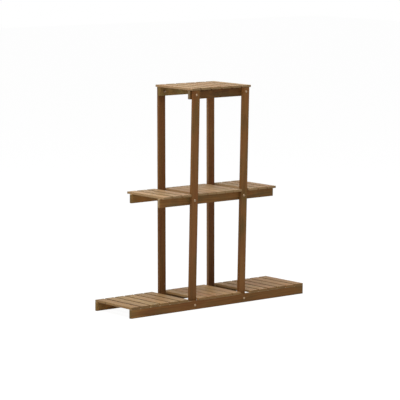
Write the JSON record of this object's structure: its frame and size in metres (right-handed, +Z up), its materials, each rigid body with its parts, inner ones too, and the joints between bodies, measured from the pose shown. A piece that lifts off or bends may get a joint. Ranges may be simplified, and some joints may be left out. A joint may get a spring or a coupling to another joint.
{
  "type": "plant stand",
  "caption": "Free-standing stepped plant stand: slatted wooden tiers, each shorter than the one below, on straight uprights bolted to rails.",
  "frame": {"origin": "on the floor, under the middle of the stand", "axes": "+X along the tiers to the right as seen from the front, +Y to the back, +Z up"},
  "size_m": [0.83, 0.211, 0.8],
  "materials": {
    "slat_wood": "light brown carbonised pine, planed and thinly oiled",
    "rail_wood": "brown carbonised pine, planed and thinly oiled",
    "post_wood": "brown carbonised pine, planed and thinly oiled",
    "bolt_steel": "yellow zinc plate, satin",
    "nail_steel": "bright drawn wire, dull"
  },
  "bodies": {
    "root": {"back_left_post": "post_wood", "back_right_post": "post_wood", "bottom_back_rail": "rail_wood", "bottom_bolts": "bolt_steel", "bottom_front_rail": "rail_wood", "bottom_nails": "nail_steel", "bottom_nuts": "bolt_steel", "bottom_slat_01": "slat_wood", "bottom_slat_02": "slat_wood", "bottom_slat_03": "slat_wood", "bottom_slat_04": "slat_wood", "bottom_slat_05": "slat_wood", "bottom_slat_06": "slat_wood", "bottom_slat_07": "slat_wood", "bottom_slat_08": "slat_wood", "bottom_slat_09": "slat_wood", "bottom_slat_10": "slat_wood", "bottom_slat_11": "slat_wood", "bottom_slat_12": "slat_wood", "bottom_slat_13": "slat_wood", "bottom_slat_14": "slat_wood", "bottom_slat_15": "slat_wood", "bottom_slat_16": "slat_wood", "bottom_slat_17": "slat_wood", "bottom_washers": "bolt_steel", "front_left_post": "post_wood", "front_right_post": "post_wood", "middle_back_rail": "rail_wood", "middle_bolts": "bolt_steel", "middle_front_rail": "rail_wood", "middle_nails": "nail_steel", "middle_nuts": "bolt_steel", "middle_slat_01": "slat_wood", "middle_slat_02": "slat_wood", "middle_slat_03": "slat_wood", "middle_slat_04": "slat_wood", "middle_slat_05": "slat_wood", "middle_slat_06": "slat_wood", "middle_slat_07": "slat_wood", "middle_slat_08": "slat_wood", "middle_slat_09": "slat_wood", "middle_slat_10": "slat_wood", "middle_slat_11": "slat_wood", "middle_washers": "bolt_steel", "top_back_rail": "rail_wood", "top_bolts": "bolt_steel", "top_front_rail": "rail_wood", "top_nails": "nail_steel", "top_nuts": "bolt_steel", "top_slat_01": "slat_wood", "top_slat_02": "slat_wood", "top_slat_03": "slat_wood", "top_slat_04": "slat_wood", "top_slat_05": "slat_wood", "top_slat_06": "slat_wood", "top_washers": "bolt_steel"}
  },
  "joints": []
}
